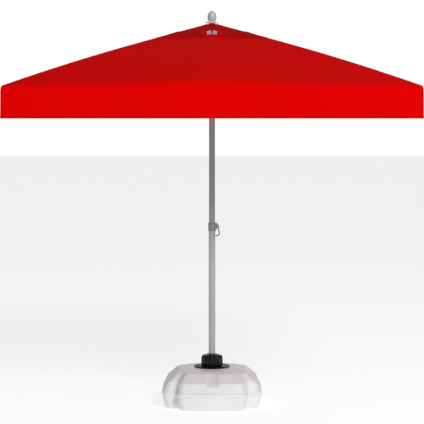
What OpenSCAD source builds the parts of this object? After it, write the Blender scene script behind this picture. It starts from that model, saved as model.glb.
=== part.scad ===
// Square patio umbrella with a fillable base, opened. Millimetres, +Z up.
// The origin is the centre of the base's underside, and the ground is z = 0.

/* [Canopy] */
// Side of the square canopy at its roof edge
canopy_w = 2000; // [1600:10:2600]
// Height of the valance's lower edge above the ground
valance_z = 1533; // [1400:1:1560]
// How far the valance leans outward at its lower edge
valance_lean = 5; // [0:1:12]
// Thickness of the fabric solids
fabric_t = 1.2; // [0.8:0.1:2]
// Side of the vent opening in the main roof
vent_hole_w = 480; // [300:10:540]
// Side of the small vent roof above the opening
vent_cap_w = 578; // [480:2:700]
// Height of the vent roof's edge above the main roof
vent_cap_rise = 4; // [3:1:20]
// Height that the vent roof gains at the centre, on top of the main roof's shape
vent_crown = 5; // [0:1:20]
// Width of the arched opening in the middle of each side of the vent roof
vent_arch_w = 74; // [50:2:120]
// Distance from the vent roof's edge to the centre of the arch's round end
vent_arch_in = 67; // [40:1:100]

/* [Ribs] */
// Height of the rib pivots above the ground
hub_z = 2018; // [1900:1:2100]
// Radius of the circle of rib pivots, on the hub and on the runner
pivot_r = 38; // [34:1:46]
// Width of a rib
rib_w = 10; // [8:1:14]
// Height of a rib
rib_h = 12; // [10:1:16]
// Wall of a rib tube
rib_wall = 1.2; // [0.8:0.1:2]
// Slope of a side rib at its pivot, in degrees
side_slope_in = 15.3; // [12:0.1:17]
// Slope of a side rib at its tip, in degrees
side_slope_out = 20.7; // [19:0.1:26]
// Slope of a corner rib at its pivot, in degrees
corner_slope_in = 11.5; // [9:0.5:13]
// Slope of a corner rib at its tip, in degrees
corner_slope_out = 16.2; // [15:0.1:19]
// Height of the fabric above the rib's middle line
fabric_rise = 9; // [8:0.5:14]
// Direction of the crease between two ribs, in degrees from the side rib
crease_angle = 24.2; // [22.5:0.1:26]

/* [Stretchers] */
// Distance between the pivots of a stretcher, and from the hub pivot to the rib joint
arm_l = 450; // [360:5:560]
// Width of a stretcher bar
bar_h = 14; // [12:1:18]
// Thickness of a stretcher bar
bar_t = 2.5; // [2:0.5:4]
// Radius of the pivot pins
pin_r = 2; // [1.5:0.1:3]

/* [Pole] */
// Outer diameter of the upper pole
pole_d = 32; // [25:1:38]
// Wall of the upper pole
pole_wall = 1.5; // [1:0.1:2.5]
// Outer diameter of the lower pole
lower_d = 35; // [28:0.2:42]
// Height of the lower pole's top end above the ground
lower_top_z = 962; // [850:1:1100]
// Overlap of the two poles
pole_overlap = 300; // [200:10:400]
// Height of the lock collar
collar_h = 43; // [36:1:60]
// Outer diameter of the lock collar
collar_d = 40.5; // [40.5:0.5:52]

/* [Finial] */
// Diameter of the finial ball
finial_d = 48; // [36:1:60]
// Height of the finial above its washer
finial_h = 59; // [44:1:74]
// Diameter of the washer below the finial
washer_d = 70; // [56:1:84]

/* [Base] */
// Width of the base
base_w = 529; // [440:1:640]
// Height of the base's deck beside the flange
base_h = 201; // [170:1:250]
// Width of one lobe of the base
lobe_w = 372; // [300:1:440]
// Wall of the blow-moulded base
base_wall = 4; // [3:0.5:6]
// Diameter of the flange on the deck
flange_d = 191; // [150:1:220]
// Thickness of the flange
flange_t = 6; // [4:0.5:10]
// Diameter of the clamp knob
knob_d = 116; // [90:1:130]
// Height of the clamp knob's gripped part
knob_h = 60; // [45:1:80]
// Number of scallops round the knob
knob_lobes = 8; // [6:1:12]
// Diameter of the filler cap
fill_cap_d = 34; // [30:1:40]

/* [Clearances] */
// Radial clearance of a running fit
run = 0.05; // [0.02:0.01:0.08]
// Gap between neighbouring pieces that move apart
gap = 0.4; // [0.3:0.1:0.8]
// Radial clearance between the runner and the pole
runner_gap = 0.3; // [0.2:0.05:0.5]

/* [Hidden] */
sides = [1 : 8];

// Each rib lies at 45 degrees to the next. Rib 1 points to -Y, and even ribs go to corners.
function azimuth(k) = -90 + 45 * (k - 1);
function is_corner(k) = k % 2 == 0;
crease_tan = tan(crease_angle);

// A rib's middle line is an arc whose slope grows from slope_in to slope_out.
half_w = canopy_w / 2;
tip_inset = 5;
corner_inset = 10;
function slope_in(k) = is_corner(k) ? corner_slope_in : side_slope_in;
function slope_out(k) = is_corner(k) ? corner_slope_out : side_slope_out;
function reach(k) = is_corner(k) ? half_w * sqrt(2) : half_w;
function tip_r(k) = reach(k) - (is_corner(k) ? corner_inset : tip_inset);
function arc_r(k) = (reach(k) - pivot_r) / (sin(slope_out(k)) - sin(slope_in(k)));
function slope_at(k, r) = asin(sin(slope_in(k)) + (r - pivot_r) / arc_r(k));
function rib_z(k, r) = hub_z + arc_r(k) * (cos(slope_at(k, r)) - cos(slope_in(k)));

// The joint between a rib and its stretcher lies at arm_l from the hub pivot.
joint_slope = side_slope_in + asin(arm_l / 2 / arc_r(1));
joint_r = pivot_r + arm_l * cos(joint_slope);
joint_z = hub_z - arm_l * sin(joint_slope);
runner_z = hub_z - 2 * arm_l * sin(joint_slope);

// The roof's height at the point that lies u along a side rib's direction and v across it.
function roof_z(u, v) =
    (1 - v / u) * rib_z(1, u) + v / u * rib_z(2, u * sqrt(2)) + fabric_rise;
// The vent roof follows the main roof, and stands a little above it towards the centre.
function cap_z(u, v) = roof_z(u, v) + vent_cap_rise + vent_crown * pow(1 - 2 * u / vent_cap_w, 2);

eye_r = 6.5;
bore_slack = pin_r + run;
bar_gap = rib_w / 2 + gap;
bar_out = bar_gap + bar_t;
pin_head_r = pin_r + 1.4;
pin_head_t = 1.2;
// How far a cutter reaches past the solid it cuts
past = 1;

pole_r = pole_d / 2;
lower_r = lower_d / 2;
lower_bore_r = pole_r + 0.1;
pole_top_z = hub_z + 20;
pole_low_z = lower_top_z - pole_overlap;
socket_bottom_z = 22;
socket_floor = 4;
socket_wall = 3;
tunnel_gap = 1.5;
socket_r = lower_r + run + socket_wall;
socket_pole_gap = 1;
flange_z = base_h + 1;
knob_z = flange_z + flange_t + 0.5;
knob_collar_h = 5;
knob_dome_h = 8;
socket_top_z = knob_z + knob_h - 14;
lever_slot = 6;
lever_w = lever_slot - 0.8;
collar_top_z = lower_top_z + 13;
collar_z = collar_top_z - collar_h;
lug_r = 34;
lug_z = collar_top_z - 14;
nose_z = lug_z - 54;
nose_gap = 0.4;

// A tube along +Z
module tube(r_out, r_in, z0, z1) {
    difference() {
        translate([0, 0, z0]) cylinder(r = r_out, h = z1 - z0, $fn = 96);
        translate([0, 0, z0 - past]) cylinder(r = r_in, h = z1 - z0 + 2 * past, $fn = 96);
    }
}

// A cylinder across a rib's plane, centred on the plane, at radius r and height z
module cross_pin(r, z, radius, width) {
    translate([r, 0, z]) rotate([90, 0, 0]) cylinder(r = radius, h = width, center = true, $fn = 48);
}

// A curved plate between two grids of points, the upper one first. Both have nu by nv points.
module plate(upper, lower, nu, nv) {
    n = nu * nv;
    function at(i, j) = i * nv + j;
    top = [for (i = [0 : nu - 2], j = [0 : nv - 2])
        each [[at(i, j), at(i + 1, j), at(i + 1, j + 1)], [at(i, j), at(i + 1, j + 1), at(i, j + 1)]]];
    bottom = [for (f = top) [f[2] + n, f[1] + n, f[0] + n]];
    loop = concat(
        [for (i = [0 : nu - 2]) at(i, 0)],
        [for (j = [0 : nv - 2]) at(nu - 1, j)],
        [for (i = [nu - 1 : -1 : 1]) at(i, nv - 1)],
        [for (j = [nv - 1 : -1 : 1]) at(0, j)]
    );
    m = len(loop);
    rim = [for (i = [0 : m - 1])
        each [[loop[(i + 1) % m], loop[i], loop[i] + n],
              [loop[(i + 1) % m], loop[i] + n, loop[(i + 1) % m] + n]]];
    flip = [for (f = concat(top, bottom, rim)) [f[2], f[1], f[0]]];
    polyhedron(points = concat(upper, lower), faces = flip, convexity = 4);
}

// ---- Base ----

// The outline of the base: a square with rounded, notched corners, and a recess in each face.
// It is drawn with the faces inset by d, the lobes' sides by slim and the recesses by sunk.
corner_r = 34;
corner_least_r = 4;
notch_r = 26;
arc_steps = 5;
recess_w = 56;
recess_slope = 4;
function corner(cx, cy, r, a0, a1) = [
    for (i = [0 : arc_steps]) let (a = a0 + (a1 - a0) * i / arc_steps)
        [cx + r * cos(a), cy + r * sin(a)]
];
function quarter(d, slim, sunk) = let (
    a = base_w / 2 - d,
    b = lobe_w / 2 - slim,
    r = max(corner_least_r, corner_r - d / 3),
    q = min(notch_r, a - b - r),
    c = recess_w / 2
) concat(
    [[a, -c - recess_slope], [a - sunk, -c], [a - sunk, c], [a, c + recess_slope]],
    corner(a - r, b - r, r, 0, 90),
    corner(b + q, b + q, q, 270, 180),
    corner(b - r, a - r, r, 0, 90)
);
function turn(p, a) = [p[0] * cos(a) - p[1] * sin(a), p[0] * sin(a) + p[1] * cos(a)];
function outline(d, slim, sunk) = [for (s = [0 : 3], p = quarter(d, slim, sunk)) turn(p, 90 * s)];

// Each level is [height, inset of the faces, inset of the lobes' sides, depth of the recesses].
band_z = 75;
band_h = 17;
shoulder_z = base_h - 56;
outer_levels = [
    [0, 24, 20, 0], [6, 16, 13, 0], [band_z - 2, 4, 4, 0],
    [band_z, 0, 0, 0], [band_z + band_h, 0, 0, 0], [band_z + band_h + 2, 3, 3, 0],
    [shoulder_z - 26, 14, 8, 0], [shoulder_z, 27, 14, 10],
    [base_h - 12, 80, 46, 14], [base_h - 5, 108, 68, 9], [base_h, 150, 94, 0]
];
inner_levels = [
    [base_wall, 24 + base_wall, 20 + base_wall, 0], [band_z, 4 + base_wall, 4 + base_wall, 0],
    [shoulder_z - 28, 16 + base_wall, 10 + base_wall, 0],
    [shoulder_z - base_wall, 30 + base_wall, 16 + base_wall, 11],
    [base_h - 13 - base_wall, 84 + base_wall, 50 + base_wall, 14],
    [base_h - 2 - base_wall, 150, 98, 0]
];

// A closed hollow ring round the pole: the levels' outlines outside and a round tunnel inside.
module ring_body(levels, tunnel_r) {
    low = levels[0];
    high = levels[len(levels) - 1];
    function raised(p, scale, z) = [p[0] * scale, p[1] * scale, z];
    function round_in(l) = [for (p = outline(l[1], l[2], 0)) raised(p, tunnel_r / norm(p), l[0])];
    function loop(l) = [for (p = outline(l[1], l[2], l[3])) raised(p, 1, l[0])];
    loops = concat([round_in(low)], [for (l = levels) loop(l)], [round_in(high)]);
    count = len(loops[0]);
    rings = len(loops);
    faces = [for (j = [0 : rings - 1], i = [0 : count - 1]) let (
        a = j * count + i, b = j * count + (i + 1) % count,
        c = (j + 1) % rings * count + (i + 1) % count, d = (j + 1) % rings * count + i
    ) each [[c, b, a], [d, c, a]]];
    polyhedron(points = [for (l = loops, p = l) p], faces = faces, convexity = 6);
}

module base_shell() {
    tunnel_r = socket_r + tunnel_gap;
    color("whitesmoke") difference() {
        ring_body(outer_levels, tunnel_r);
        ring_body(inner_levels, tunnel_r + base_wall);
        translate([0, fill_y, shoulder_z]) cylinder(r = fill_r + run, h = base_h, $fn = 64);
    }
}

module base_socket() {
    color("dimgray") {
        difference() {
            union() {
                translate([0, 0, flange_z]) cylinder(d = flange_d, h = flange_t, $fn = 120);
                translate([0, 0, socket_bottom_z])
                    cylinder(r = socket_r, h = socket_top_z - socket_bottom_z, $fn = 96);
            }
            translate([0, 0, socket_bottom_z + socket_floor])
                cylinder(r = lower_r + run, h = socket_top_z, $fn = 96);
        }
    }
}

// The clamp knob: a hand nut on the socket, with a scallop between each two grips and a collar
// round the lower pole.
module clamp_knob() {
    scallop_r = knob_d * 0.16;
    scallop_at = knob_d / 2 + scallop_r * 0.62;
    collar_wall = 8;
    dome_in = 13;
    color("black") difference() {
        union() {
            translate([0, 0, knob_z]) cylinder(d = knob_d, h = knob_h - knob_dome_h, $fn = 120);
            translate([0, 0, knob_z + knob_h - knob_dome_h])
                cylinder(d1 = knob_d, d2 = knob_d - 2 * dome_in, h = knob_dome_h, $fn = 120);
            translate([0, 0, knob_z + knob_h])
                cylinder(r = lower_r + collar_wall, h = knob_collar_h, $fn = 96);
        }
        for (i = [1 : knob_lobes]) rotate(360 / knob_lobes * (i - 0.5))
            translate([scallop_at, 0, knob_z - past])
                cylinder(r = scallop_r, h = knob_h + 2 * past, $fn = 48);
        translate([0, 0, knob_z - past])
            cylinder(r = socket_r + run, h = socket_top_z - knob_z + 2 * past, $fn = 96);
        translate([0, 0, knob_z - past])
            cylinder(r = lower_r + run + 0.03, h = knob_h + knob_collar_h + 2 * past, $fn = 96);
    }
}

// The filler cap on the rear of the deck, with a plug below it and a finger grip across it
fill_y = flange_d / 2 + fill_cap_d / 2 + 20;
fill_r = fill_cap_d / 2 - 5;
fill_cap_h = 10;
fill_plug_h = 16;
fill_grip_w = 5;
fill_grip_h = 5;
module fill_cap() {
    color("whitesmoke") translate([0, fill_y, base_h + gap]) {
        cylinder(d = fill_cap_d, h = fill_cap_h, $fn = 72);
        translate([0, 0, -fill_plug_h]) cylinder(r = fill_r, h = fill_plug_h + past, $fn = 64);
        translate([-fill_r, -fill_grip_w / 2, fill_cap_h - past])
            cube([2 * fill_r, fill_grip_w, fill_grip_h + past]);
    }
}

// ---- Pole ----

nose_hole_r = 5;
module pole_lower() {
    color("silver") difference() {
        tube(lower_r, lower_bore_r, socket_bottom_z + socket_floor + socket_pole_gap, lower_top_z);
        translate([0, 0, nose_z]) rotate([0, 90, 0])
            cylinder(r = nose_hole_r, h = lower_r + past, $fn = 48);
    }
}

// The lock collar: a clamp ring on the lower pole's top end, with two ears for the lever. Its
// upper end closes in round the upper pole.
lever_pin_z = lug_z - 3;
ear_w = lever_slot + 8;
module lock_collar() {
    ear = [
        [lower_r + 1, collar_top_z + 4], [lug_r - 10, collar_top_z + 2], [lug_r + 4, lug_z - 1],
        [lug_r + 4, lug_z - 9], [lug_r - 3, lug_z - 11], [lower_r + 1, collar_z + 3]
    ];
    color("dimgray") difference() {
        union() {
            translate([0, 0, collar_z]) cylinder(d = collar_d, h = collar_h, $fn = 96);
            upright(ear_w) polygon(ear);
        }
        translate([0, 0, collar_z - past])
            cylinder(r = lower_r + run, h = lower_top_z - collar_z + past, $fn = 96);
        translate([0, 0, collar_z - past])
            cylinder(r = pole_r + gap, h = collar_h + 2 * past, $fn = 96);
        translate([collar_d / 2 + 0.5, -lever_slot / 2, collar_z - past])
            cube([lug_r, lever_slot, collar_h + 2 * past]);
        cross_pin(lug_r, lever_pin_z, bore_slack, ear_w + 2 * past);
    }
}

// The lock lever: hangs from its pin on the collar, and its nose enters the pole's hole.
module lock_lever() {
    lever_r = 3.3;
    nose_r = 2.6;
    nose_end = lower_r + 4;
    hang = [
        [lug_r, lever_pin_z], [lug_r + 1, lug_z - 24], [lug_r + 6, lug_z - 38],
        [lug_r + 2, lug_z - 50], [lug_r - 6, lug_z - 55], [nose_end, nose_z]
    ];
    color("dimgray") {
        for (i = [0 : len(hang) - 2]) hull() {
            cross_pin(hang[i][0], hang[i][1], lever_r, lever_w);
            cross_pin(hang[i + 1][0], hang[i + 1][1], lever_r, lever_w);
        }
        cross_pin(lug_r, lever_pin_z, pin_r, ear_w);
        translate([pole_r + nose_gap, 0, nose_z]) rotate([0, 90, 0])
            cylinder(r = nose_r, h = nose_end - pole_r - nose_gap, $fn = 32);
    }
}

module pole_upper() {
    color("gray") tube(pole_r, pole_r - pole_wall, pole_low_z, pole_top_z);
}

// The hub: a crown with a slot and a pin for each rib, on a skirt round the upper pole.
hub_flange_r = pivot_r + 9;
hub_flange_h = 16;
hub_skirt_r = pivot_r - 10;
hub_skirt_h = 45;
module hub() {
    slot_w = rib_w + 2 * gap;
    slot_in = pivot_r - eye_r - 0.6;
    color("lightgray") {
        difference() {
            union() {
                translate([0, 0, hub_z - hub_skirt_h])
                    cylinder(r = hub_skirt_r, h = hub_skirt_h, $fn = 96);
                translate([0, 0, hub_z - hub_flange_h / 2])
                    cylinder(r = hub_flange_r, h = hub_flange_h, $fn = 96);
            }
            translate([0, 0, hub_z - hub_skirt_h - past])
                cylinder(r = pole_r + run, h = 2 * hub_skirt_h, $fn = 96);
            for (k = sides) rotate(azimuth(k))
                translate([slot_in, -slot_w / 2, hub_z - hub_flange_h])
                    cube([hub_flange_r, slot_w, 2 * hub_flange_h]);
        }
        for (k = sides) rotate(azimuth(k)) cross_pin(pivot_r, hub_z, pin_r, slot_w + 4);
    }
}

// The washer above the fabric, with a hole for the finial's plug
washer_z = hub_z + 22;
washer_t = 6;
plug_r = pole_r - pole_wall - 2 * run;
module finial_washer() {
    color("whitesmoke") tube(washer_d / 2, plug_r + run, washer_z, washer_z + washer_t);
}

// The finial: an egg cut flat on a round foot, with a plug that goes down into the upper pole.
module finial() {
    foot_z = washer_z + washer_t + 0.2;
    foot_r = finial_d * 0.4;
    foot_h = 3;
    plug_h = 36;
    egg_half = finial_h * 0.575;
    color("lightgray") {
        intersection() {
            translate([0, 0, foot_z + finial_h - egg_half]) scale([1, 1, 2 * egg_half / finial_d])
                sphere(d = finial_d, $fn = 72);
            translate([0, 0, foot_z]) cylinder(d = finial_d + 2, h = finial_h + 2, $fn = 72);
        }
        translate([0, 0, foot_z]) cylinder(r = foot_r, h = foot_h, $fn = 72);
        translate([0, 0, foot_z - plug_h]) cylinder(r = plug_r, h = plug_h + past, $fn = 72);
    }
}

// The runner: a sleeve on the upper pole with a pinned lug for each stretcher.
runner_r = 22;
runner_half = 30;
lug_half = 9;
module runner() {
    color("lightgray") {
        difference() {
            union() {
                translate([0, 0, runner_z - runner_half])
                    cylinder(r = runner_r, h = 2 * runner_half, $fn = 96);
                for (k = sides) rotate(azimuth(k)) {
                    translate([runner_r - past, -rib_w / 2, runner_z - lug_half])
                        cube([pivot_r - runner_r + past, rib_w, 2 * lug_half]);
                    cross_pin(pivot_r, runner_z, eye_r, rib_w);
                }
            }
            translate([0, 0, runner_z - runner_half - past])
                cylinder(r = pole_r + runner_gap, h = 2 * (runner_half + past), $fn = 96);
        }
        for (k = sides) rotate(azimuth(k)) pinned(pivot_r, runner_z);
    }
}

// A pin through a lug or rib, with a head outside each stretcher bar
module pinned(r, z) {
    cross_pin(r, z, pin_r, 2 * (bar_out + gap + pin_head_t));
    for (s = [-1, 1]) translate([0, s * (bar_out + gap + pin_head_t / 2), 0])
        cross_pin(r, z, pin_head_r, pin_head_t);
}

// ---- Ribs and stretchers ----

// A point on the rib's middle line, moved up by off along the line's normal
function rib_point(k, r, off) =
    let (s = slope_at(k, r)) [r + off * sin(s), rib_z(k, r) + off * cos(s)];
function rib_band(k, r0, r1, half, steps) = concat(
    [for (i = [0 : steps]) rib_point(k, r0 + (r1 - r0) * i / steps, -half)],
    [for (i = [steps : -1 : 0]) rib_point(k, r0 + (r1 - r0) * i / steps, half)]
);

// A vertical plate in a rib's plane, of the given width, from a radius and height outline
module upright(width) {
    rotate([90, 0, 0]) translate([0, 0, -width / 2]) linear_extrude(width) children();
}

// A rib: a hollow rectangular tube along its arc, solid round its hub pivot and stretcher joint.
module rib(k) {
    steps = 16;
    solid_in = 26;
    drop = rib_z(k, joint_r) - joint_z;
    color("gray") rotate(azimuth(k)) {
        difference() {
            union() {
                difference() {
                    upright(rib_w) polygon(rib_band(k, pivot_r + 2, tip_r(k), rib_h / 2, steps));
                    upright(rib_w - 2 * rib_wall) polygon(
                        rib_band(k, pivot_r + solid_in, tip_r(k) + past, rib_h / 2 - rib_wall, steps));
                }
                cross_pin(pivot_r, hub_z, eye_r - 0.5, rib_w);
                if (drop > 1) bracket(k);
                cross_pin(joint_r, joint_z, eye_r, rib_w);
            }
            cross_pin(pivot_r, hub_z, bore_slack, rib_w + 2 * past);
        }
        pinned(joint_r, joint_z);
        tip_cap(k);
    }
}

// The bracket that carries a corner rib's stretcher joint below the rib
module bracket(k) {
    spread = 34;
    upright(rib_w) polygon([
        rib_point(k, joint_r - spread, -rib_h / 2 + 1), rib_point(k, joint_r + spread, -rib_h / 2 + 1),
        [joint_r + eye_r, joint_z], [joint_r - eye_r, joint_z]
    ]);
}

// The plastic plug in a rib's open end
module tip_cap(k) {
    plug_l = 20;
    upright(rib_w - 2 * rib_wall)
        polygon(rib_band(k, tip_r(k) - plug_l, tip_r(k), rib_h / 2 - rib_wall, 2));
}

// A stretcher: two flat bars that straddle the rib and the runner's lug, tied at the middle.
module stretcher(k) {
    tilt = atan2(joint_z - runner_z, joint_r - pivot_r);
    end_steps = 10;
    function round_end(x, z, a0) = [for (i = [0 : end_steps])
        let (a = tilt + a0 + 180 * i / end_steps) [x + bar_h / 2 * cos(a), z + bar_h / 2 * sin(a)]];
    bar = concat(round_end(joint_r, joint_z, -90), round_end(pivot_r, runner_z, 90));
    color("gray") rotate(azimuth(k)) difference() {
        union() {
            for (s = [-1, 1]) translate([0, s * (bar_gap + bar_t / 2), 0]) upright(bar_t) polygon(bar);
            cross_pin((joint_r + pivot_r) / 2, (joint_z + runner_z) / 2, bar_h / 4, 2 * bar_gap + bar_t);
        }
        cross_pin(joint_r, joint_z, bore_slack, 2 * (bar_out + past));
        cross_pin(pivot_r, runner_z, bore_slack, 2 * (bar_out + past));
    }
}

// ---- Fabric ----

// Puts a point given by u along the nearest side rib and v across it, for rib k's half gore.
// turn_to is +1 on the half towards the next rib and -1 on the other.
module at_rib(k, turn_to) {
    rotate(azimuth(k)) mirror([0, turn_to < 0 ? 1 : 0, 0]) rotate(is_corner(k) ? 45 : 0)
        mirror([0, is_corner(k) ? 1 : 0, 0]) children();
}

// The across range [v0, v1] of rib k's half gore at the distance u. A side rib's half runs from
// its rib to the crease, and a corner rib's half, seen from the side rib, on to the diagonal.
function across(k, u) = is_corner(k)
    ? [crease_tan * u + gap / 2, u - gap]
    : [gap / 2, crease_tan * u - gap / 2];
function grid(k, us, nv, height) = [for (u = us, j = [0 : nv - 1])
    let (a = across(k, u), v = a[0] + (a[1] - a[0]) * j / (nv - 1)) [u, v, height(u, v)]];
function spaced(a, b, n) = [for (i = [0 : n - 1]) a + (b - a) * i / (n - 1)];

module roof_half(k, turn_to) {
    us = spaced(vent_hole_w / 2, half_w - gap, 12);
    nv = 4;
    at_rib(k, turn_to) plate(
        grid(k, us, nv, function (u, v) roof_z(u, v) + fabric_t / 2),
        grid(k, us, nv, function (u, v) roof_z(u, v) - fabric_t / 2), len(us), nv);
}

module cap_half(k, turn_to) {
    under_washer = 3;
    us = spaced(washer_d / 2 - under_washer, vent_cap_w / 2, 8);
    nv = 4;
    at_rib(k, turn_to) plate(
        grid(k, us, nv, function (u, v) cap_z(u, v) + fabric_t / 2),
        grid(k, us, nv, function (u, v) cap_z(u, v) - fabric_t / 2), len(us), nv);
}

module roof_panel(k, turn_to) {
    color([0.72, 0, 0]) {
        roof_half(k, turn_to);
        difference() {
            cap_half(k, turn_to);
            if (!is_corner(k)) rotate(azimuth(k)) vent_arch();
        }
    }
}

// The arched opening in the middle of a side of the vent roof
module vent_arch() {
    cut_h = 2 * hub_z;
    translate([vent_cap_w / 2 - vent_arch_in, 0, 0]) {
        cylinder(d = vent_arch_w, h = cut_h, $fn = 48);
        translate([0, -vent_arch_w / 2, 0]) cube([vent_arch_in + past, vent_arch_w, cut_h]);
    }
}

// A valance panel hangs from the roof's edge. Its end at the crease is cut at the crease's angle,
// so that the panels of neighbouring ribs still meet when the canopy is folded.
valance_below_roof = 0.6;
valance_off = 0.1;
module valance_panel(k, turn_to) {
    ends = across(k, half_w);
    shift = (roof_z(half_w, crease_tan * half_w) - valance_z) * crease_tan;
    steps = 3;
    function wall(x_off) = [for (i = [0 : steps], j = [0 : steps]) let (
        t = i / steps,
        v0 = ends[0] + (is_corner(k) ? shift * t : 0),
        v1 = ends[1] + (is_corner(k) ? 0 : shift * t),
        v = v0 + (v1 - v0) * j / steps,
        z_top = roof_z(half_w, v) - valance_below_roof
    ) [half_w + x_off + valance_lean * t, v, z_top + (valance_z - z_top) * t]];
    color([0.88, 0, 0]) at_rib(k, turn_to)
        plate(wall(fabric_t + valance_off), wall(valance_off), steps + 1, steps + 1);
}

base_shell();
base_socket();
clamp_knob();
fill_cap();
pole_lower();
lock_collar();
lock_lever();
pole_upper();
hub();
finial();
finial_washer();
runner();
for (k = sides) {
    rib(k);
    stretcher(k);
    roof_panel(k, 1);
    roof_panel(k, -1);
    valance_panel(k, 1);
    valance_panel(k, -1);
}
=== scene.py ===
import math

import bpy
import numpy as np
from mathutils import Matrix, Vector


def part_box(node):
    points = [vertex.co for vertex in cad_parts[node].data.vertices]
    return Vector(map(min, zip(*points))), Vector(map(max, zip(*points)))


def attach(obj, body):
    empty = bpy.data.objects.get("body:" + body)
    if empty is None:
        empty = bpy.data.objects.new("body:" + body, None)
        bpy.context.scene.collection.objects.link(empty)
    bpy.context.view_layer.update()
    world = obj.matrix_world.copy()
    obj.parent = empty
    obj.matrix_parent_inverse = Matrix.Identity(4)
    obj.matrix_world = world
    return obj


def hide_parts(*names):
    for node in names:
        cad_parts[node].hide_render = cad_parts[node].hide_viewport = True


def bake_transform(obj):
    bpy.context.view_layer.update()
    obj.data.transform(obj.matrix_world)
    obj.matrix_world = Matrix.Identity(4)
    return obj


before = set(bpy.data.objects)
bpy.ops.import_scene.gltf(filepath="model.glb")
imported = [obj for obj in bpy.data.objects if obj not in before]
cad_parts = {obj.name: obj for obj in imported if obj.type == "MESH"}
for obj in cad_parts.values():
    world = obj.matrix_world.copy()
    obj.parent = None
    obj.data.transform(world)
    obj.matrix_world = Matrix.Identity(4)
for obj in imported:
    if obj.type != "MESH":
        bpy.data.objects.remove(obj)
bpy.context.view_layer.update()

# ---- Camera ----
# Eye height is level with the valance's lower edge, 9 m in front of the pole, looking slightly down.
eye = (0.0, -9.0, 1.533)
look_down = math.radians(3.175)
view_lens_mm = 143.0
sensor_mm = 36.0
farthest = 400.0
camera_data = bpy.data.cameras.new("camera")
camera_data.lens = view_lens_mm
camera_data.sensor_width = sensor_mm
camera_data.clip_end = farthest
camera = bpy.data.objects.new("camera", camera_data)
camera.location = eye
camera.rotation_euler = (math.radians(90) - look_down, 0.0, 0.0)
bpy.context.scene.collection.objects.link(camera)
bpy.context.scene.camera = camera
bpy.context.scene.view_settings.view_transform = "Standard"

# ---- Floor and light ----
# A plain white studio floor, a pale surround that is brightest behind the umbrella and dimmer above,
# in front and to both sides, and one large soft lamp high in front, a little to the right.
floor_half = 60.0
floor_white = 0.4
floor_glow = 0.74
horizon_light = 1.02
zenith_light = 0.8
front_light = 0.34
left_light = 0.3
right_light = 0.35
lamp_place = (2.8, -7.6, 5.6)
lamp_target = (0.0, 0.0, 0.9)
lamp_size = 2.4
lamp_watts = 520


def new_material(name):
    """An empty node material with a Principled shader; returns the material, its nodes and the shader."""
    material = bpy.data.materials.new(name)
    material.use_nodes = True
    nodes = material.node_tree.nodes
    return material, nodes, nodes["Principled BSDF"]


def math_node(tree, operation, *terms):
    """A maths node on its terms, each of them a number or another node's output; returns its output."""
    node = tree.nodes.new("ShaderNodeMath")
    node.operation = operation
    for socket, term in zip(node.inputs, terms):
        if isinstance(term, float):
            socket.default_value = term
        else:
            tree.links.new(term, socket)
    return node.outputs[0]


floor_mesh = bpy.data.meshes.new("studio_floor")
floor_corners = [(x * floor_half, y * floor_half, 0) for x, y in ((-1, -1), (1, -1), (1, 1), (-1, 1))]
floor_mesh.from_pydata(floor_corners, [], [(0, 1, 2, 3)])
floor = bpy.data.objects.new("studio_floor", floor_mesh)
bpy.context.scene.collection.objects.link(floor)
floor_paint, _, floor_shader = new_material("studio_floor")
floor_shader.inputs["Base Color"].default_value = (floor_white, floor_white, floor_white, 1)
floor_shader.inputs["Roughness"].default_value = 1.0
floor_shader.inputs["Specular IOR Level"].default_value = 0.0
floor_shader.inputs["Emission Color"].default_value = (1, 1, 1, 1)
floor_shader.inputs["Emission Strength"].default_value = floor_glow
floor_mesh.materials.append(floor_paint)

world = bpy.data.worlds.new("studio")
world.use_nodes = True
bpy.context.scene.world = world
sky = world.node_tree
where = sky.nodes.new("ShaderNodeTexCoord")
towards = sky.nodes.new("ShaderNodeSeparateXYZ")
sky.links.new(where.outputs["Generated"], towards.inputs[0])


def dimming(axis, start, end, near, far):
    """A factor that goes from near to far while the direction's part along axis goes from start to end."""
    ramp = sky.nodes.new("ShaderNodeMapRange")
    ramp.interpolation_type = "SMOOTHSTEP"
    for socket, value in zip(("From Min", "From Max", "To Min", "To Max"), (start, end, near, far)):
        ramp.inputs[socket].default_value = value
    sky.links.new(towards.outputs[axis], ramp.inputs["Value"])
    return ramp.outputs["Result"]


brightness = dimming("Z", 0.25, 1.0, horizon_light, zenith_light)
for factor in (dimming("Y", 0.9, -0.2, 1.0, front_light), dimming("X", 0.15, 0.6, 1.0, right_light),
               dimming("X", -0.15, -0.6, 1.0, left_light)):
    brightness = math_node(sky, "MULTIPLY", brightness, factor)
sky.links.new(brightness, sky.nodes["Background"].inputs["Strength"])
sky.nodes["Background"].inputs["Color"].default_value = (1, 1, 1, 1)

lamp_data = bpy.data.lights.new("key", "AREA")
lamp_data.size = lamp_size
lamp_data.energy = lamp_watts
lamp = bpy.data.objects.new("key", lamp_data)
lamp.location = lamp_place
lamp.rotation_euler = (Vector(lamp_target) - Vector(lamp_place)).to_track_quat("-Z", "Y").to_euler()
bpy.context.scene.collection.objects.link(lamp)

# ---- Base ----
# Four-lobed blow-moulded tank in white polyethylene, hollow, with a round tunnel for the pole
# socket, a raised parting band round its middle and a recess in the shoulder of each face.


def link_piece(name, mesh, body, slot, *nodes):
    """Puts a finished mesh in the scene on its body and hides the nodes it replaces; slot is not used."""
    piece = bpy.data.objects.new(name, mesh)
    bpy.context.scene.collection.objects.link(piece)
    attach(piece, body)
    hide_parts(*nodes)
    return piece


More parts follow.
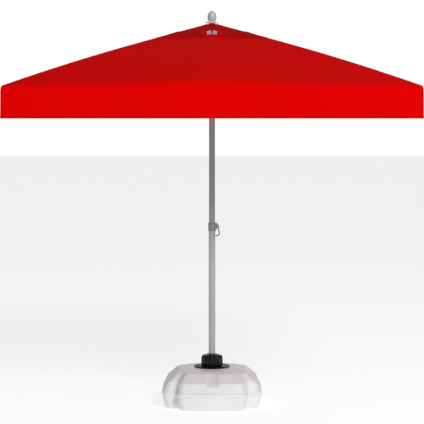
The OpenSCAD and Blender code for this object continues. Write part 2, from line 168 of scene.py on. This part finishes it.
def surface(name, points, round_rows=False, round_columns=False, cut=None, crisp_border=False):
    """A mesh of four-sided faces on a grid of points (rows, columns, 3). A round direction joins its
    last line to its first. cut, a grid of metres, becomes the UV map. Faces look to the side of
    (row direction) x (column direction). A crisp border is not smoothed over."""
    rows, columns = points.shape[:2]
    number = np.arange(rows * columns).reshape(rows, columns)
    if round_rows:
        number = np.vstack([number, number[:1]])
    if round_columns:
        number = np.hstack([number, number[:, :1]])
    faces = np.stack([number[:-1, :-1], number[1:, :-1], number[1:, 1:], number[:-1, 1:]], -1)
    mesh = bpy.data.meshes.new(name)
    mesh.from_pydata(points.reshape(-1, 3).tolist(), [], faces.reshape(-1, 4).tolist())
    if cut is not None:
        corner = np.zeros(len(mesh.loops), np.int32)
        mesh.loops.foreach_get("vertex_index", corner)
        layer = mesh.uv_layers.new(name="cut")
        layer.data.foreach_set("uv", cut.reshape(-1, 2)[corner].astype(np.float32).ravel())
    mesh.shade_smooth()
    if crisp_border:
        ends = np.zeros(len(mesh.edges) * 2, np.int32)
        mesh.edges.foreach_get("vertices", ends)
        row, column = np.divmod(ends.reshape(-1, 2), columns)
        border = np.zeros(len(mesh.edges), bool)
        for line, last in ((row, rows - 1), (column, columns - 1)):
            border |= (line[:, 0] == line[:, 1]) & ((line[:, 0] == 0) | (line[:, 0] == last))
        sharp = mesh.attributes.new("sharp_edge", "BOOLEAN", "EDGE")
        sharp.data.foreach_set("value", border)
    return mesh


def noise(tree, scale, detail):
    """Noise on the piece's own metres, with scale patches to the metre; returns its value's output."""
    place = tree.nodes.new("ShaderNodeTexCoord")
    pattern = tree.nodes.new("ShaderNodeTexNoise")
    pattern.inputs["Scale"].default_value = scale
    pattern.inputs["Detail"].default_value = detail
    tree.links.new(place.outputs["Object"], pattern.inputs["Vector"])
    return pattern.outputs["Fac"]


def wander(tree, patches, low, high, top, roughness, spread):
    """Patches steer the colour, from low at 0.3 to high at top, and the roughness, by spread to either
    side. Returns the colour's output."""
    shader = tree.nodes["Principled BSDF"]
    tint = tree.nodes.new("ShaderNodeValToRGB")
    for stop, place, colour in zip(tint.color_ramp.elements, (0.3, top), (low, high)):
        stop.position = place
        stop.color = (*colour, 1)
    tree.links.new(patches, tint.inputs["Fac"])
    gloss = tree.nodes.new("ShaderNodeMapRange")
    gloss.inputs["To Min"].default_value = roughness - spread
    gloss.inputs["To Max"].default_value = roughness + spread
    tree.links.new(patches, gloss.inputs["Value"])
    tree.links.new(gloss.outputs["Result"], shader.inputs["Roughness"])
    return tint.outputs["Color"]


def emboss(tree, height, relief, strength):
    """Bumps the surface by the output height, which stands for relief metres."""
    bump = tree.nodes.new("ShaderNodeBump")
    bump.inputs["Distance"].default_value = relief
    bump.inputs["Strength"].default_value = strength
    tree.links.new(height, bump.inputs["Height"])
    tree.links.new(bump.outputs["Normal"], tree.nodes["Principled BSDF"].inputs["Normal"])


def finish(name, low, high, roughness, patch_m, grain_m, relief, metallic=0.0, shine=0.5, spread=0.08):
    """A moulded or painted finish: the colour wanders between low and high over patches of patch_m, the
    roughness wanders by spread, and the surface has a fine grain of grain_m."""
    material, _, shader = new_material(name)
    tree = material.node_tree
    colour = wander(tree, noise(tree, 1 / patch_m, 4.0), low, high, 0.7, roughness, spread)
    tree.links.new(colour, shader.inputs["Base Color"])
    emboss(tree, noise(tree, 1 / grain_m, 2.0), relief, 0.6)
    shader.inputs["Metallic"].default_value = metallic
    shader.inputs["Specular IOR Level"].default_value = shine
    return material


def paint_node(node, material):
    """Gives a CAD node its finish."""
    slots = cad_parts[node].material_slots
    if slots:
        slots[0].material = material
    else:
        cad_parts[node].data.materials.append(material)


base_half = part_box("base_shell")[1][0]
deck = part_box("base_shell")[1][2]
lobe_half = 0.186
lobe_corner_radius = 0.040
notch_radius = 0.026
least_radius = 0.006
recess_half = 0.033
recess_flank = 0.006
tunnel_radius = 0.0221


def lobed_ring(inset, slim, sunk, steps=9):
    """One level's outline: each quarter is a recessed face, a convex arc, a concave notch arc and a
    convex arc. inset, slim and sunk are arrays over the levels; the result is (levels, points, 2)."""
    a = base_half - inset
    b = lobe_half - slim
    r = np.maximum(least_radius, lobe_corner_radius - inset / 3)
    q = np.minimum(notch_radius, a - b - r)

    def arc(cx, cy, radius, start, end):
        t = np.radians(np.linspace(start, end, steps))
        x = cx[:, None] + radius[:, None] * np.cos(t)
        y = cy[:, None] + radius[:, None] * np.sin(t)
        return np.stack([x, y], -1)

    across = np.array([-0.7, -0.36, -0.2, -0.165, -0.14, 0.14, 0.165, 0.2, 0.36, 0.7]) * lobe_half
    dip = np.clip((recess_half - np.abs(across)) / recess_flank, 0, 1)
    face = np.stack([a[:, None] - sunk[:, None] * dip, across[None] * (b / lobe_half)[:, None]], -1)
    other = face[:, :, ::-1].copy()
    quarter = np.concatenate([
        face[:, 5:], arc(a - r, b - r, r, 0, 90), arc(b + q, b + q, q, 270, 180),
        arc(b - r, a - r, r, 0, 90), other[:, :4:-1]], axis=1)
    turns = [quarter]
    for _ in range(3):
        last = turns[-1]
        turns.append(np.stack([-last[..., 1], last[..., 0]], -1))
    return np.concatenate(turns, axis=1)


def base_surface():
    """The tank's skin: its profile (height, inset, slimming and recess depth in millimetres) is carried
    round the lobed outline, and closes through the tunnel."""
    z = np.array([0, 0, 2, 8, 30, 55, 71, 73.5, 75, 77, 90, 92, 93.5, 96, 106, 118, 128, 133, 140, 145,
                  148, 155, 168, 182, 187, 190, 193.5, 197, 199.5, 200.6, 201]) / 1000
    inset = np.array([40, 29, 24, 17, 11, 6.5, 4.8, 4.4, 0.8, 0, 0, 0.8, 3.4, 4, 8.5, 14, 18.5, 21, 24.3, 27,
                      31, 39, 54, 70.5, 76.5, 82, 96, 116, 134, 145, 152]) / 1000
    slim = np.array([34, 25, 20, 14, 9, 6, 4.8, 4.4, 0.8, 0, 0, 0.8, 3.4, 4, 6, 8, 10, 11, 12.5, 14,
                     16, 20, 29, 39, 43, 47, 58, 72, 84, 91, 96]) / 1000
    sunk = np.array([0, 0, 0, 0, 0, 0, 0, 0, 0, 0, 0, 0, 0, 0, 0, 0, 0, 4, 9, 11,
                     12, 13, 14, 14, 14, 13, 10, 6, 2, 0, 0]) / 1000
    outline = lobed_ring(inset, slim, sunk)
    rows = np.concatenate([outline, np.repeat(z[:, None, None], outline.shape[1], 1)], -1)
    wall = outline[0] * (tunnel_radius / np.linalg.norm(outline[0], axis=1))[:, None]
    heights = np.array([deck, deck - 0.002, 0.1, 0.001, 0.0])
    tunnel = np.concatenate([np.repeat(wall[None], len(heights), 0),
                             np.repeat(heights[:, None, None], len(wall), 1)], -1)
    return np.concatenate([rows, tunnel], axis=0)


base_mesh = surface("base_tank", base_surface()[:, ::-1], round_rows=True, round_columns=True)
base_tank = link_piece("base_tank", base_mesh, "base", "base_plastic", "base_shell")
white_moulding = finish("white_moulding", (0.75, 0.765, 0.775), (0.81, 0.82, 0.83),
                        0.42, 0.16, 0.004, 0.0004)
base_mesh.materials.append(white_moulding)
rounding = base_tank.modifiers.new("rounding", "SUBSURF")
rounding.levels = rounding.render_levels = 1

paint_node("fill_cap", white_moulding)

# ---- Socket flange and clamp knob ----
# Black mouldings: a satin dished flange screwed down on the deck with the pole socket below it, and
# a glossy eight-lobed hand nut that clamps the pole.


def turned(profile, sides):
    """The surface of a profile (radius, height) carried round the Z axis: x = r cos t, y = r sin t."""
    t = np.linspace(0, 2 * np.pi, sides, endpoint=False)
    r, z = profile[:, 0][:, None], profile[:, 1][:, None]
    return np.stack([r * np.cos(t), r * np.sin(t), z + 0 * t], -1)


black_gloss = finish("black_gloss", (0.006, 0.007, 0.009), (0.014, 0.014, 0.016),
                     0.22, 0.05, 0.002, 0.0001, shine=0.14, spread=0.05)
black_satin = finish("black_satin", (0.007, 0.006, 0.006), (0.016, 0.014, 0.013),
                     0.34, 0.05, 0.002, 0.0001, shine=0.04, spread=0.05)
flange_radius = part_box("base_socket")[1][0]
flange_low = deck + 0.001
flange_high = flange_low + 0.006
socket_inner = 0.01755
socket_outer = 0.02055
socket_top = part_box("base_socket")[1][2]
socket_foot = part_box("base_socket")[0][2]
flange_profile = np.array([
    (0.0005, socket_foot), (socket_outer - 0.001, socket_foot), (socket_outer, socket_foot + 0.001),
    (socket_outer, flange_low), (flange_radius - 0.006, flange_low),
    (flange_radius - 0.001, flange_low + 0.001), (flange_radius, flange_low + 0.003),
    (flange_radius - 0.0012, flange_high - 0.0005), (flange_radius - 0.004, flange_high),
    (flange_radius - 0.010, flange_low + 0.0045), (flange_radius - 0.024, flange_low + 0.0030),
    (0.060, flange_low + 0.0045), (0.030, flange_high), (socket_outer, flange_high),
    (socket_outer, socket_top - 0.001), (socket_outer - 0.001, socket_top), (socket_inner, socket_top),
    (socket_inner, socket_foot + 0.004), (0.0005, socket_foot + 0.004)])
socket_mesh = surface("pole_socket", turned(flange_profile, 96)[:, ::-1], round_columns=True)
link_piece("pole_socket", socket_mesh, "base", "black_plastic", "base_socket")
socket_mesh.materials.append(black_satin)

knob_low, knob_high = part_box("clamp_knob")
knob_radius = knob_high[0]
dome_radius = 0.034
grip_lobes = 8
grip_depth = 0.0095


def knob_surface():
    """The nut's skin. Its radius is a profile in height, less a scallop that is deepest between the
    lobes and fades out on the domed top and at the collar."""
    full = knob_radius
    high = knob_high[2] - knob_low[2]
    profile = np.array([
        (0.0207, 0.0), (full - 0.006, 0.0), (full - 0.0015, 0.0012), (full, 0.005), (full - 0.0002, 0.02),
        (full - 0.0008, 0.040), (full - 0.0018, 0.047), (full - 0.0040, 0.0520), (full - 0.0085, 0.0556),
        (full - 0.014, 0.0580), (0.0370, 0.0602), (0.0300, 0.0618), (0.0245, 0.0634),
        (0.0215, high - 0.0004), (0.0200, high), (0.0186, high - 0.0003), (0.0177, high - 0.0015),
        (0.0177, 0.048), (0.0207, 0.046)])
    t = np.linspace(0, 2 * np.pi, 24 * grip_lobes, endpoint=False)
    r, z = profile[:, 0][:, None], profile[:, 1][:, None]
    lobes = 0.5 + 0.5 * np.cos(grip_lobes * (t - np.pi / grip_lobes) + np.pi)
    groove = 1 - np.clip(lobes, 0, 1) ** 0.36
    reach = np.clip((r - dome_radius) / (full - dome_radius), 0, 1) ** 1.3
    radius = r - grip_depth * groove[None] * reach
    front = t - np.pi / 2
    return np.stack([radius * np.cos(front), radius * np.sin(front), knob_low[2] + z + 0 * t], -1)


knob_mesh = surface("hand_nut", knob_surface()[:, ::-1], round_rows=True, round_columns=True)
link_piece("hand_nut", knob_mesh, "knob", "black_plastic", "clamp_knob")
knob_mesh.materials.append(black_gloss)

# ---- Pole ----
# Two powder-coated steel tubes, the lower one a shade lighter, and the dark plastic lock collar
# with its sprung latch lever.
lower_coat = finish("lower_coat", (0.37, 0.385, 0.375), (0.43, 0.445, 0.43),
                    0.42, 0.35, 0.0012, 0.00015, metallic=0.1)
upper_coat = finish("upper_coat", (0.29, 0.305, 0.29), (0.33, 0.345, 0.325),
                    0.42, 0.35, 0.0012, 0.00015, metallic=0.1)
lock_moulding = finish("lock_moulding", (0.22, 0.225, 0.215), (0.27, 0.275, 0.265),
                       0.5, 0.03, 0.0012, 0.0002)
paint_node("pole_lower", lower_coat)
paint_node("pole_upper", upper_coat)
paint_node("lock_collar", lock_moulding)
paint_node("lock_lever", lock_moulding)

# ---- Hub, runner and finial ----
# Pale mouldings: the crown hub fixed to the pole's top, the runner that slides on the pole, and the
# egg-shaped finial pushed into the pole's end, over a white washer on the fabric.
grey_moulding = finish("grey_moulding", (0.46, 0.47, 0.485), (0.54, 0.545, 0.555), 0.32, 0.04, 0.0015, 0.0001)
# The hub is painted much lighter than the runner and finial: painted light that makes up for the shade it
# sits in inside the vent.
hub_moulding = finish("hub_moulding", (0.82, 0.84, 0.85), (0.88, 0.90, 0.90), 0.4, 0.04, 0.0015, 0.0001)
white_washer = finish("white_washer", (0.78, 0.78, 0.76), (0.86, 0.86, 0.84), 0.35, 0.04, 0.0015, 0.0001)
paint_node("hub", hub_moulding)
paint_node("runner", grey_moulding)
egg_radius, _, egg_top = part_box("finial")[1]
washer_low, washer_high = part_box("finial_washer")
egg_foot = washer_high[2] + 0.0002
egg_height = egg_top - egg_foot
egg_half_share = 0.575


def egg_profile():
    """A short neck, then an egg a fifth taller than it is wide: r = R cos t, z = middle + half sin t."""
    t = np.radians(np.linspace(-44, 89.5, 22))
    half = egg_height * egg_half_share
    egg = np.stack([egg_radius * np.cos(t), egg_height - half + half * np.sin(t)], -1)
    neck = np.array([(0.0005, 0.0), (0.0190, 0.0), (0.0196, 0.0012), (0.0190, 0.0030), (0.0172, 0.0042)])
    return np.vstack([neck, egg, (0.0003, egg_height)]) + (0, egg_foot)


finial_mesh = surface("egg_finial", turned(egg_profile(), 64)[:, ::-1], round_columns=True)
link_piece("egg_finial", finial_mesh, "upper_pole", "frame_plastic", "finial")
finial_mesh.materials.append(grey_moulding)

washer_radius = washer_high[0]
washer_profile = np.array([
    (0.0005, 0), (washer_radius - 0.0015, 0), (washer_radius - 0.0003, 0.0010), (washer_radius, 0.0025),
    (washer_radius - 0.0012, 0.0042), (washer_radius - 0.006, 0.0054), (0.022, 0.006), (0.0005, 0.006)])
washer_rings = turned(washer_profile + (0, washer_low[2]), 64)
washer_mesh = surface("cap_washer", washer_rings[:, ::-1], round_columns=True)
link_piece("cap_washer", washer_mesh, "upper_pole", "washer_plastic", "finial_washer")
washer_mesh.materials.append(white_washer)

# ---- Ribs and stretchers ----
# Eight powder-coated steel ribs hinged on the hub, each held up by a pair of flat stretcher bars
# from the runner.
rib_coat = finish("rib_coat", (0.30, 0.30, 0.30), (0.37, 0.37, 0.37), 0.4, 0.2, 0.001, 0.00012, metallic=0.35)
all_ribs = range(1, 9)
for number in all_ribs:
    paint_node(f"rib_{number}", rib_coat)
    paint_node(f"stretcher_{number}", rib_coat)

# ---- Canopy roof ----
# Red polyester in half gores, seamed along the ribs. Each half gore follows its own rib.
canopy_half = 1.0
pivot_radius = 0.038
pivot_height = 2.018
rib_slopes = {"side": (15.3, 20.7), "corner": (11.5, 16.2)}
fabric_rise = 0.009
gore_sag = 0.006
ripple_height = 0.0012
edge_roll = 0.002
roll_start = 0.990
roof_end = 0.9990
vent_hole = 0.240
crease = math.tan(math.radians(24.2))
cloth_thickness = 0.0007
halves = (("a", 1), ("b", -1))
upwards = np.array([0.0, 0.0, 1.0])


def azimuth(number):
    """The direction of a rib: rib 1 points to the front, and the others follow at an eighth of a turn."""
    return math.radians(-90 + 45 * (number - 1))


def rib_height(kind, r):
    """The height of a rib's middle line, an arc whose slope grows with the radius r."""
    reach = canopy_half if kind == "side" else canopy_half * math.sqrt(2)
    first, last = (math.radians(slope) for slope in rib_slopes[kind])
    radius = (reach - pivot_radius) / (math.sin(last) - math.sin(first))
    slope = np.arcsin(math.sin(first) + (r - pivot_radius) / radius)
    return pivot_height + radius * (np.cos(slope) - math.cos(first))


def roof_height(u, v):
    """The roof between a side rib (v = 0) and a corner rib (v = u): straight from rib to rib at each
    distance u, less a shallow sag between them, with small ripples that fade out at the ribs, and
    rolled down a little at its edge."""
    w = v / u
    flat = (1 - w) * rib_height("side", u) + w * rib_height("corner", u * math.sqrt(2)) + fabric_rise
    free = np.sin(np.pi * w) ** 2
    ripple = ripple_height * np.sin(9 * u + 5 * w) * np.clip((u - 0.3) / 0.3, 0, 1)
    roll = edge_roll * np.clip((u - roll_start) / (roof_end - roll_start), 0, 1) ** 2
    return flat + (ripple - gore_sag * u) * free - roll


def on_half(number, side, u, v, z):
    """Places points given by u along the nearest side rib and v across it on rib number's half
    gore, on the side towards the next rib (1) or the last (-1)."""
    if number % 2:
        x, y = u, side * v
    else:
        x, y = (u + v) / math.sqrt(2), side * (u - v) / math.sqrt(2)
    a = azimuth(number)
    return np.stack([x * math.cos(a) - y * math.sin(a), x * math.sin(a) + y * math.cos(a), z + 0 * x], -1)


def cloth_finish(name, low, high, seam_gap):
    """Plain-weave polyester on the cut's own metres: two crossed waves for the threads, a colour that
    wanders a little, and a row of stitches at seam_gap from the cut's edge (across = 0)."""
    stitch_pitch = 0.004
    stitch_half_width = 0.0006
    stitch_share = 0.7
    threads_per_m = 180.0
    material, nodes, shader = new_material(name)
    tree = material.node_tree
    colour = wander(tree, noise(tree, 2.2, 5.0), low, high, 0.75, 0.85, 0.07)
    cut = nodes.new("ShaderNodeUVMap")
    cut.uv_map = "cut"
    split = nodes.new("ShaderNodeSeparateXYZ")
    tree.links.new(cut.outputs["UV"], split.inputs[0])
    across = math_node(tree, "ABSOLUTE", split.outputs["Y"])
    off_row = math_node(tree, "ABSOLUTE", math_node(tree, "SUBTRACT", across, seam_gap))
    on_row = math_node(tree, "LESS_THAN", off_row, stitch_half_width)
    step = math_node(tree, "FRACT", math_node(tree, "MULTIPLY", split.outputs["X"], 1 / stitch_pitch))
    stitch = math_node(tree, "MULTIPLY", on_row, math_node(tree, "LESS_THAN", step, stitch_share))
    thread = nodes.new("ShaderNodeMix")
    thread.data_type = "RGBA"
    thread.inputs["B"].default_value = (high[0] * 0.75, 0.0, 0.0, 1)
    tree.links.new(stitch, thread.inputs["Factor"])
    tree.links.new(colour, thread.inputs["A"])
    tree.links.new(thread.outputs["Result"], shader.inputs["Base Color"])
    height = stitch
    for direction in ("X", "Y"):
        wave = nodes.new("ShaderNodeTexWave")
        wave.bands_direction = direction
        wave.inputs["Scale"].default_value = threads_per_m
        wave.inputs["Distortion"].default_value = 0.4
        tree.links.new(cut.outputs["UV"], wave.inputs["Vector"])
        height = math_node(tree, "ADD", wave.outputs["Fac"], height)
    emboss(tree, height, 0.0002, 0.35)
    shader.inputs["Specular IOR Level"].default_value = 0.02
    return material


roof_cloth = cloth_finish("roof_cloth", (0.61, 0.0, 0.0), (0.68, 0.0, 0.0), 0.006)
valance_cloth = cloth_finish("valance_cloth", (0.58, 0.0, 0.0), (0.64, 0.0, 0.0), 0.012)
# The inner side's darker red is painted shade; it also bounces less red light onto the base and pole.
painted_shade_back = cloth_finish("painted_shade_back", (0.20, 0.0, 0.0), (0.25, 0.0, 0.0), 0.006)


def cloth_piece(name, points, cut, material, thickness=cloth_thickness):
    """A sheet of cloth on a grid of points, with its cut as UV map, a little thickness and a darker red
    on its inner side, painted shade that also bounces less red light down."""
    mesh = surface(name, points, cut=cut, crisp_border=True)
    piece = bpy.data.objects.new(name, mesh)
    bpy.context.scene.collection.objects.link(piece)
    mesh.materials.append(material)
    mesh.materials.append(painted_shade_back)
    body = piece.modifiers.new("thickness", "SOLIDIFY")
    body.material_offset = 1
    body.thickness = thickness
    body.offset = 0.0
    return piece


def half_cut(number, u, v):
    """The flat pattern of a half gore: metres along the rib and across from it."""
    if number % 2:
        return np.stack([u + 0 * v, v], -1)
    return np.stack([(u + v) / math.sqrt(2), (u - v) / math.sqrt(2)], -1)


def half_grid(number, start, end, rows, columns):
    """A half gore's grid of u and v, from rib to crease or from crease to corner rib. The rows lie
    closer together towards the roof's edge."""
    spread = np.linspace(0, 1, columns)[None]
    u = start + (end - start) * np.linspace(0, 1, rows)[:, None] ** 0.6 + 0 * spread
    low, high = (0 * u, crease * u) if number % 2 else (crease * u, u)
    return u, low + (high - low) * spread


def facing(points, cut, way):
    """Turns a grid over where its faces would look against the direction way."""
    down = points[1, 0] - points[0, 0]
    along = points[0, -1] - points[0, 0]
    if np.cross(down, along) @ way < 0:
        return points[:, ::-1], cut[:, ::-1]
    return points, cut


def fold_along_rib(piece):
    """Bakes the piece's placement into its mesh."""
    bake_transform(piece)


for number in all_ribs:
    for letter, side in halves:
        half_name = f"{number}{letter}"
        u, v = half_grid(number, vent_hole, roof_end, 56, 19)
        points = on_half(number, side, u, v, roof_height(u, v))
        points, cut = facing(points, half_cut(number, u, v), upwards)
        roof = cloth_piece(f"roof_cloth_{half_name}", points, cut, roof_cloth)
        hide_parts(f"roof_{half_name}")
        fold_along_rib(roof)

# ---- Vent roof ----
# A second small roof over the vent opening, of the same cloth with its red painted darker as painted shade,
# open in an arch with a taped edge in the middle of each side.
# The vent roof's darker red is painted shade: the roof's red made darker for this small roof.
vent_cloth = cloth_finish("vent_cloth", (0.43, 0.0, 0.0), (0.51, 0.0, 0.0), 0.006)
vent_half = 0.289
vent_rise = 0.0012
vent_crown = 0.005
crown_radius = 0.031
arch_radius = 0.037
arch_centre = 0.222
arch_bulge = 0.008
bulge_length = 0.055
bulge_width = 0.05
tape_width = 0.0195
tape_lift = 0.0016
tape_thickness = 0.0012
tape_overhang = 0.0008


def vent_height(u, v):
    """The vent roof follows the main roof, stands above it by a little more towards the centre, and
    bulges up round the arch."""
    bulge = arch_bulge * np.exp(-((u - arch_centre) / bulge_length) ** 2 - (v / bulge_width) ** 2)
    return roof_height(u, v) + vent_rise + vent_crown * (1 - u / vent_half) ** 2 + bulge


for number in all_ribs:
    for letter, side in halves:
        half_name = f"{number}{letter}"
        spread = np.linspace(0, 1, 9)[None]
        w_low, w_high = (0.0, crease) if number % 2 else (crease, 1.0)
        w = w_low + (w_high - w_low) * spread
        first = crown_radius / np.sqrt(1 + w**2)
        u = first + (vent_half - first) * np.linspace(0, 1, 34)[:, None]
        v = w * u
        if number % 2:
            into = np.clip(1 - ((arch_centre - np.minimum(u, arch_centre)) / arch_radius) ** 2, 0, 1)
            edge = arch_radius * np.sqrt(into)
            v = edge + (crease * u - edge) * spread
        points = on_half(number, side, u, v, vent_height(u, v))
        points, cut = facing(points, half_cut(number, u, v), upwards)
        vent = cloth_piece(f"vent_cloth_{half_name}", points, cut, vent_cloth)
        fold_along_rib(vent)

for number in all_ribs[::2]:
    for letter, side in halves:
        half_name = f"{number}{letter}"
        bend = np.radians(np.linspace(0, 90, 13))
        straight = np.linspace(0, 1, 7)[1:]
        radii = arch_radius + tape_width * np.linspace(-0.03, 1, 5)[None]
        u_arc = arch_centre - radii * np.cos(bend)[:, None]
        v_arc = radii * np.sin(bend)[:, None]
        u_leg = arch_centre + (vent_half + tape_overhang - arch_centre) * straight[:, None] + 0 * radii
        v_leg = radii + 0 * straight[:, None]
        u, v = np.vstack([u_arc, u_leg]), np.vstack([v_arc, v_leg])
        points = on_half(number, side, u, v, vent_height(u, v) + tape_lift)
        points, cut = facing(points, half_cut(number, u, v), upwards)
        tape = cloth_piece(f"arch_tape_{half_name}", points, cut, valance_cloth,
                           tape_thickness)
        fold_along_rib(tape)

# ---- Valance ----
# A flat flounce that hangs from the roof's edge all the way round, with a turned hem at the bottom.
# Each length hangs from its half gore and is cut at the crease angle where two lengths meet.
valance_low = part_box("valance_1a")[0][2]
mean_drop = 0.17
valance_lean = 0.002
fold_out = 0.0035
fold_sharpness = 22.0
long_wave = 0.0035
short_wave = 0.0015
hem_height = 0.013
hem_step = 0.004
hem_thickness = 0.0008


def hang(number, side, t, spread):
    """The valance's grid: t runs down from the roof's edge and spread along it. It turns down over a
    fold that comes out by fold_out, leans out a little, and waves gently except at its top and at the
    roof's corners."""
    cut_line = crease * (canopy_half + (roof_height(roof_end, crease * roof_end) - valance_low) * t)
    start, end = (0 * t, cut_line) if number % 2 else (cut_line, canopy_half)
    v = start + (end - start) * spread
    top = roof_height(roof_end, v)
    a = azimuth(number if number % 2 else number + side)
    along = side * (v if number % 2 else -v)
    wave = long_wave * np.sin(11.0 * along + 2.0 * a) + short_wave * np.sin(27.0 * along + a)
    wave = wave * t * (1 - (v / canopy_half) ** 4)
    u = roof_end + fold_out * (1 - np.exp(-fold_sharpness * t)) + valance_lean * t
    at_corner = v * (1 + (u / canopy_half - 1) * (v / canopy_half) ** 8)
    return u + wave, at_corner, top + (valance_low - top) * t


for number in all_ribs:
    for letter, side in halves:
        half_name = f"{number}{letter}"
        hem_top = 1 - hem_height / mean_drop
        t = np.concatenate([np.linspace(0, hem_top, 13), np.linspace(hem_top + hem_step, 1, 4)])
        spread = np.linspace(0, 1, 33)[None]
        u, v, z = hang(number, side, t[:, None] + 0 * spread, spread)
        doubled = hem_thickness * (t > hem_top)[:, None]
        points = on_half(number, side, u + doubled, v, z)
        outwards = points.reshape(-1, 3).mean(0) * (1, 1, 0)
        points, cut = facing(points, np.stack([v, z - valance_low], -1), outwards)
        flounce = cloth_piece(f"valance_cloth_{half_name}", points, cut, valance_cloth)
        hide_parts(f"valance_{half_name}")
        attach(flounce, f"valance_{half_name}")
